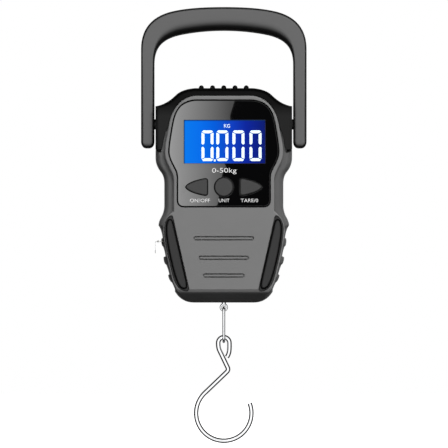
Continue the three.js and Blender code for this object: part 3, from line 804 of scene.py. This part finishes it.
def makeBumper():
    ends = (level["bumperFront"], level["bumperBack"])
    piece = slab("bumper", silhouette, *ends, bumper["round"], bumper["round"])
    carve(piece, slab("seat", widened(upperBody, bumper["seat"]), -20, 20))
    carve(piece, slab("faceSeat", widened(faceEdge, bumper["seat"]), -20, -4))
    carve(piece, slab("below", rectangle(-60, 60, -160, bumper["bottom"]), -30, 30))
    for outline in (wedge, flip(wedge)):
        carve(piece, slab("wedgeSeat", widened(outline, bumper["wedgeSeat"]), -30, 0.3))
    for i in range(bumper["nubs"]):
        x = (i - 2) * bumper["nubStep"]
        outline = circle(x, high("top_bumper").z - bumper["nubDrop"], bumper["nub"], 24)
        nub = slab("nub", outline, *bumper["nubEnds"], bumper["nubRound"], bumper["nubRound"])
        carve(piece, nub, "UNION")
    softenEdges(piece, bumper["edge"], 40)
    finishPiece(piece, "black", "housing", ["top_bumper"])


makeBumper()
print("bumper made")


window = {
    # the first three entries place the black ring of painted shade in the gap round the pane
    "gapShadeOut": 0.33, "gapShadeDown": (0.8, 0.28), "gapShadeView": rectangle(-22.8, 23.6, -71.4, -44),
    "gap": 0.4, "edge": 0.1, "glass": rectangle(-20.6, 21.4, -68.85, -46.55), "glassRound": (0.15, 0.15),
    "lit": (-0.0207, 0.0215, -0.04648),
}


def makeGapShade():
    # painted shade: a black ring in the gap round the pane, put there to show the gap's shadow as a thin
    # dark line
    front, back = window["gapShadeDown"]
    outline = widened(paneGap, window["gapShadeOut"])
    piece = slab("windowGapShade", outline, level["pane"] + front, level["paneBack"] + back)
    carve(piece, slab("view", window["gapShadeView"], -20, -5))
    cutButtons(piece, -20, -5)
    finishPiece(piece, "gapShadeAndTape", "housing")


def makeWindow():
    makeGapShade()
    piece = slab("windowPane", widened(paneGap, -window["gap"]), level["pane"], level["paneBack"])
    carve(piece, slab("view", displayView, -20, -5))
    cutButtons(piece, -20, -5)
    softenEdges(piece, window["edge"], 40)
    finishPiece(piece, "pane", "housing", ["window_panel"])
    paint["display"] = litDisplay("displayBlue", *window["lit"])
    glass = slab("displayGlass", window["glass"], level["display"], -10, window["glassRound"])
    finishPiece(glass, "display", "housing", ["display_module"])


digitStyle = {
    "tall": 15.9, "wide": 6.2, "bar": 1.5, "top": -51.85, "gapHalf": 0.2, "corner": 0.75,
    "waist": (0.5, 1.0, 1.35), "places": (-11.55, -3.85, 4.5, 13.35),
    "front": level["display"] - 0.12, "back": level["display"] + 0.05,
    "point": rectangle(-5.2, -4.2, -67.9, -66.9, 0.2),
}


def segmentOutlines(left):
    # six bars of a zero, ends cut at a slant
    w, h, b, g, c = (digitStyle[k] for k in ("wide", "tall", "bar", "gapHalf", "corner"))
    tip, outside, inside = digitStyle["waist"]
    top = digitStyle["top"]
    foot = top - h
    mid = (top + foot) / 2
    right = left + w
    bars = [[(left + c + g, top), (right - c - g, top), (right - g, top - c), (right - b - g, top - b),
             (left + b + g, top - b), (left + g, top - c)]]
    bars.append([(x, top + foot - z) for x, z in reversed(bars[0])])
    upperLeft = [(left, top - c - 2 * g), (left + b, top - b - 2 * g), (left + b, mid + inside),
                 (left + b * 0.5, mid + tip), (left, mid + outside)]
    bars.append(upperLeft)
    bars.append([(left + right - x, z) for x, z in reversed(upperLeft)])
    bars.append([(x, top + foot - z) for x, z in reversed(upperLeft)])
    bars.append([(left + right - x, top + foot - z) for x, z in upperLeft])
    return bars


def joinPieces(pieces, name):
    deselect()
    for piece in pieces:
        piece.select_set(True)
    bpy.context.view_layer.objects.active = pieces[0]
    bpy.ops.object.join()
    pieces[0].name = name
    return pieces[0]


def makeDigits():
    ends = (digitStyle["front"], digitStyle["back"])
    for number, left in enumerate(digitStyle["places"], 1):
        bars = [slab("bar", outline, *ends) for outline in segmentOutlines(left)]
        finishPiece(joinPieces(bars, "digit{}".format(number)), "digits", "housing")
    point = slab("decimalPoint", digitStyle["point"], *ends)
    finishPiece(point, "digits", "housing")


# name, words, x, z, size, stretch
labels = {
    "display": [("unitWord", "KG", 1.65, -49.6, 2.7, 0.92)],
    "pane": [("rangeWord", "0-50kg", 0.2, -72.7, 3.5, 1.35),
             ("powerWord", "ON/OFF", -12.4, -88.3, 2.6, 1.12),
             ("unitsWord", "UNIT", 0.1, -88.3, 2.6, 0.95),
             ("zeroWord", "TARE/0", 13.3, -88.3, 2.6, 1.12)],
    "thick": 0.02, "overDisplay": 0.1, "overPane": 0.04,
}


def lettering(label, finishName, front):
    name, words, x, z, size, stretch = label
    bpy.ops.object.text_add(location=(0, 0, 0))
    text = bpy.context.object
    text.name = name
    text.data.body = words
    text.data.size = size * mm
    text.data.align_x = "CENTER"
    text.data.align_y = "CENTER"
    text.data.extrude = labels["thick"] * mm
    text.data.resolution_u = 3
    deselect()
    text.select_set(True)
    bpy.context.view_layer.objects.active = text
    bpy.ops.object.convert(target="MESH")
    text = bpy.context.object
    text.scale = (stretch, 1, 1)
    text.rotation_euler = (math.pi / 2, 0, 0)
    text.location = (x * mm, front * mm, z * mm)
    bpy.ops.object.transform_apply(location=True, rotation=True, scale=True)
    finishPiece(text, finishName, "housing")


def makeLabels():
    for label in labels["display"]:
        lettering(label, "digits", level["display"] - labels["overDisplay"])
    for label in labels["pane"]:
        lettering(label, "label", level["pane"] - labels["overPane"])


makeWindow()
makeDigits()
makeLabels()
print("display made")


buttons = {"round": (0.7, 0.45), "flange": 0.9, "flangeThick": 0.8, "capShort": 0.1}


def makeButtons():
    front, back = level["button"], level["buttonBack"]
    for side, outline in buttonShapes.items():
        cap = slab(side + "Button", outline, front, back - buttons["capShort"], buttons["round"])
        flange = slab("flange", widened(outline, buttons["flange"]), back - buttons["flangeThick"], back)
        carve(cap, flange, "UNION")
        finishPiece(cap, "button", side + "_button", [side + "_button"])


grips = {
    "padIn": 0.25, "padRound": (0.3, 0.3), "well": 0.77, "wellDeep": -13.6, "gap": 0.75,
    "gapShadeEnds": (-13.75, -13.5), "stripRound": (0.8, 0.5), "stripBack": 0.45,
}


def makeGrips():
    for side, turn in (("left", flip), ("right", list)):
        padEdge = turn(widened(gripEdge, -grips["padIn"]))
        pad = slab(side + "GripPad", padEdge, level["pad"] + 0.05, level["padBack"], grips["padRound"])
        carve(pad, slab("well", turn(widened(stripEdge, grips["well"])), -20, grips["wellDeep"]))
        # painted shade: a black sheet at the foot of the gap round each strip, where the narrow gap is
        # in shadow
        gap = slab(side + "GripGap", turn(widened(stripEdge, grips["gap"])), *grips["gapShadeEnds"])
        finishPiece(gap, "gapShadeAndTape", "housing")
        finishPiece(pad, "pad", "housing", [side + "_grip_pad"])
        back = level["padBack"] - grips["stripBack"]
        strip = slab(side + "GripStrip", turn(stripEdge), level["strip"], back, grips["stripRound"])
        finishPiece(strip, "strip", "housing", [side + "_grip_strip"])


makeButtons()
makeGrips()
print("buttons and grips made")


cover = {
    "corner": 0.7, "round": (0.3, 0.3), "notch": 5.2, "notchDrop": 2.1, "notchDeep": 1, "edge": 0.15,
    "ribs": 4, "ribHalf": 9, "ribTall": 1.1, "ribStep": 2.6, "ribDrop": 11.7, "ribDeep": 0.5,
}


def makeCover():
    first, last = low("battery_cover"), high("battery_cover")
    panel = rectangle(first.x, last.x, first.z, last.z, cover["corner"])
    piece = slab("batteryCover", panel, first.y, last.y, None, cover["round"])
    notch = circle(0, last.z - cover["notchDrop"], cover["notch"], 40)
    carve(piece, slab("notch", notch, last.y - cover["notchDeep"], 20))
    for i in range(cover["ribs"]):
        ribZ = last.z - cover["ribDrop"] - i * cover["ribStep"]
        rib = capsule(cover["ribHalf"], ribZ, cover["ribTall"], 8)
        carve(piece, slab("rib", rib, last.y - cover["ribDeep"], 20))
    softenEdges(piece, cover["edge"], 40)
    finishPiece(piece, "shell", "battery_cover", ["battery_cover"])


makeCover()


def bentWire(name, points, radius, sides=28):
    # a round wire of even thickness along smooth points
    curve = bpy.data.curves.new(name, "CURVE")
    curve.dimensions = "3D"
    spline = curve.splines.new("NURBS")
    spline.points.add(len(points) - 1)
    for place, point in zip(spline.points, points):
        place.co = (*[c * mm for c in point], 1)
    spline.order_u = 4
    spline.use_endpoint_u = True
    spline.resolution_u = 6
    curve.bevel_depth = radius * mm
    curve.bevel_resolution = sides // 4
    curve.use_fill_caps = True
    piece = bpy.data.objects.new(name, curve)
    bpy.context.scene.collection.objects.link(piece)
    deselect()
    piece.select_set(True)
    bpy.context.view_layer.objects.active = piece
    bpy.ops.object.convert(target="MESH")
    piece = bpy.context.object
    cleanUp(piece, 1e-6)
    return piece


def arc(x, z, radius, start, end, count):
    angles = [math.radians(start + (end - start) * i / (count - 1)) for i in range(count)]
    return [(x + radius * math.cos(a), z + radius * math.sin(a)) for a in angles]


wires = {
    "hook": 1.25, "link": 0.75, "eye": 0.55, "eyeRadius": 1.6, "hookEye": 2.9, "bowl": 14.4, "play": 0.3,
    "eyeEnd": [(1.6, -169.6), (2.2, -168.7), (2.7, -167.4), (2.9, -165.8), (2.95, -164.2)],
    "eyeDown": [(-2.85, -164), (-2.6, -165.4)],
    "kink": [(1.8, -174.6), (2.1, -175.2), (2.25, -175.8), (2.15, -176.4), (1.9, -176.9),
             (1.5, -177.35)],
    "bowlTurn": (136, 381), "tipRound": 0.2, "linkEnds": [(-2.05, -152.4), (-2.05, -152.7)],
    "shank": 1.1, "shankLong": 13.6, "shankZ": -135.2,
}
wires["eyeZ"] = low("load_eye").z + wires["eye"] + wires["eyeRadius"]
wires["hookTop"] = low("wire_link").z + 2 * wires["link"] + wires["hook"] + wires["play"]
wires["bowlZ"] = low("hook").z + wires["hook"] + wires["bowl"]


def straight(a, b, count):
    # the points between two ends, without the ends
    return [(a[0] + (b[0] - a[0]) * i / count, a[1] + (b[1] - a[1]) * i / count)
            for i in range(1, count)]


def makeHook():
    eyeDown, kink = wires["eyeDown"], wires["kink"]
    eye = wires["hookEye"]
    path = wires["eyeEnd"] + arc(0, wires["hookTop"] - eye, eye + 0.05, 0, 180, 13)
    path += eyeDown + straight(eyeDown[-1], kink[0], 8) + kink
    bowl = arc(0, wires["bowlZ"], wires["bowl"], *wires["bowlTurn"], 46)
    path += straight(kink[-1], bowl[0], 10) + bowl
    piece = bentWire("hookWire", [(x, 0, z) for x, z in path], wires["hook"])
    softenEdges(piece, wires["tipRound"], 60)
    finishPiece(piece, "chrome", "hook", ["hook"], 45)


def makeLink():
    # the wire's two ends meet on the side towards the front
    first, last = wires["linkEnds"]
    play = wires["play"] + wires["link"]
    top = arc(0, wires["eyeZ"] - wires["eyeRadius"], wires["eye"] + play, 180, 0, 13)
    foot = arc(0, wires["hookTop"], wires["hook"] + play, 0, -180, 15)
    path = straight(first, top[0], 6) + top + straight(top[-1], foot[0], 10) + foot
    path += straight(foot[-1], last, 6)
    piece = bentWire("linkWire", [(0, y, z) for y, z in path], wires["link"], 20)
    finishPiece(piece, "chrome", "link", ["wire_link"], 45)


def makeEye():
    deselect()
    bpy.ops.mesh.primitive_torus_add(major_segments=64, minor_segments=20,
                                     major_radius=wires["eyeRadius"] * mm,
                                     minor_radius=wires["eye"] * mm,
                                     location=(0, 0, wires["eyeZ"] * mm),
                                     rotation=(math.pi / 2, 0, 0))
    ring = bpy.context.object
    ring.name = "loadEye"
    bpy.ops.object.transform_apply(location=True, rotation=True, scale=True)
    bpy.ops.mesh.primitive_cylinder_add(vertices=32, radius=wires["shank"] * mm,
                                        depth=wires["shankLong"] * mm,
                                        location=(0, 0, wires["shankZ"] * mm))
    shank = bpy.context.object
    bpy.ops.object.transform_apply(location=True, rotation=True, scale=True)
    carve(ring, shank, "UNION")
    finishPiece(ring, "chrome", "housing", ["load_eye"], 45)


makeHook()
makeLink()
makeEye()


tape = {"plateThick": 0.3, "plateCorner": 0.1, "footUnder": (0.9, 0.55), "footIn": 0.1, "edge": 0.06}


def makeTapeEnd():
    first, last = low("tape_blade"), high("tape_blade")
    blade = slab("tapeBlade", rectangle(first.x, last.x, first.z, last.z), first.y, last.y)
    finishPiece(blade, "tape", "tape_blade", ["tape_blade"])
    first, last = low("tape_end_hook"), high("tape_end_hook")
    outline = rectangle(first.x, first.x + tape["plateThick"], first.z, last.z, tape["plateCorner"])
    plate = slab("tapeEndHook", outline, first.y, last.y)
    under, over = tape["footUnder"]
    outline = rectangle(first.x + tape["footIn"], last.x, last.z - under, last.z - over)
    carve(plate, slab("foot", outline, first.y + 1, last.y - 1), "UNION")
    softenEdges(plate, tape["edge"], 40)
    finishPiece(plate, "chrome", "tape_blade", ["tape_end_hook"])


makeTapeEnd()
print("wires and tape made")


studio = {
    "low": (0.09, 0.09, 0.09), "high": (0.3, 0.3, 0.3), "backdrop": (1.0, 1.0, 1.0),
    "shine": (1.35, 1.35, 1.35), "rearShine": (0.45, 0.45, 0.45), "sideShine": (0.01, 0.01, 0.01),
    "floorDrop": 0.012, "floorColour": (0.93, 0.93, 0.93), "middle": (0, 0, -0.09),
    "cardLit": (0.17, 0.17, 0.17), "cardFade": (0.048, 0.052), "cardStrength": 5.2,
}
# place, size, power
lights = {
    "keyLight": ((0.35, -1.25, 1.0), (0.8, 0.5), 18.5),
    "rightLight": ((1.2, 0.1, 0.0), (0.3, 1.2), 6),
    "backLight": ((-0.5, 1.5, 0.9), (0.8, 0.5), 10),
}
# distance in front, and corners as they show round the window
cards = {
    "darkCard": (0.95, [(-70, -10), (70, -10), (70, -150), (-70, -150)]),
    "brightCard": (0.9, [(-60, -25), (6.9, -25), (-4.4, -98), (-60, -98)]),
}


def makeSurroundings():
    world = bpy.data.worlds.new("studio")
    bpy.context.scene.world = world
    world.use_nodes = True
    m = Maker("studio", world.node_tree)
    tree = world.node_tree
    background = tree.nodes["Background"]
    seen = m.node("ShaderNodeLightPath", out=0)
    glossy = m.node("ShaderNodeLightPath", out=3)
    way = m.node("ShaderNodeTexCoord", out=0)
    depth = m.node("ShaderNodeSeparateXYZ", inputs={0: way}, out=1)
    rise = m.node("ShaderNodeSeparateXYZ", inputs={0: way}, out=2)
    front = (depth * -4.0 - 2.35).clamp()
    above = (rise * 0.6 + 0.4).clamp()
    soft = m.mix(above, studio["low"], studio["high"])
    behind = (depth * 4.0 - 2.6).clamp()
    shine = m.mix(front, studio["sideShine"], studio["shine"])
    shine = m.mix(behind, shine, studio["rearShine"])
    grey = m.mix(glossy, soft, shine)
    tint = m.mix(seen, grey, studio["backdrop"])
    tree.links.new(tint.socket, background.inputs[0])
    background.inputs[1].default_value = 1.0
    deselect()
    bpy.ops.mesh.primitive_plane_add(size=3, location=(0, 0.6, cadBox[0].z - studio["floorDrop"]))
    floor = bpy.context.object
    floor.name = "floor"
    f = Maker("floorPale")
    f.set(Base_Color=studio["floorColour"], Roughness=0.6, Emission_Color=(1, 1, 1),
          Emission_Strength=1.0)
    floor.data.materials.append(f.material)
    floor.visible_diffuse = False
    floor.visible_glossy = False


def softbox(name, place, size, power):
    light = bpy.data.lights.new(name, "AREA")
    light.shape = "RECTANGLE"
    light.size, light.size_y = size
    light.energy = power
    box = bpy.data.objects.new(name, light)
    box.location = place
    box.rotation_euler = (Vector(studio["middle"]) - Vector(place)).to_track_quat("-Z", "Y").to_euler()
    box.visible_glossy = False
    bpy.context.scene.collection.objects.link(box)


def makeCard(name, distance, spots, dim, bright, strength):
    # a flat reflector that only glossy surfaces see, laid out as it shows in the window
    grow = 1 + distance / camera["distance"]
    mesh = bpy.data.meshes.new(name)
    corners = [(x * mm * grow, -distance, (z * mm - camera["z"]) * grow + camera["z"]) for x, z in spots]
    mesh.from_pydata(corners, [], [(0, 1, 2, 3)])
    card = bpy.data.objects.new(name, mesh)
    bpy.context.scene.collection.objects.link(card)
    c = Maker(name)
    start, length = studio["cardFade"]
    across = ((c.axis(0) + start) * (1 / length)).clamp()
    glow = c.node("ShaderNodeEmission", inputs={0: c.mix(across, bright, dim), 1: strength})
    c.tree.links.new(glow.socket, c.tree.nodes["Material Output"].inputs[0])
    card.data.materials.append(c.material)
    card.visible_camera = False
    card.visible_diffuse = False
    card.visible_shadow = False
    card.visible_transmission = False


makeSurroundings()
makeCard("darkCard", *cards["darkCard"], black, black, 0.0)
makeCard("brightCard", *cards["brightCard"], studio["cardLit"], (1, 1, 1), studio["cardStrength"])
for name, (place, size, power) in lights.items():
    softbox(name, place, size, power)
print("surroundings made")
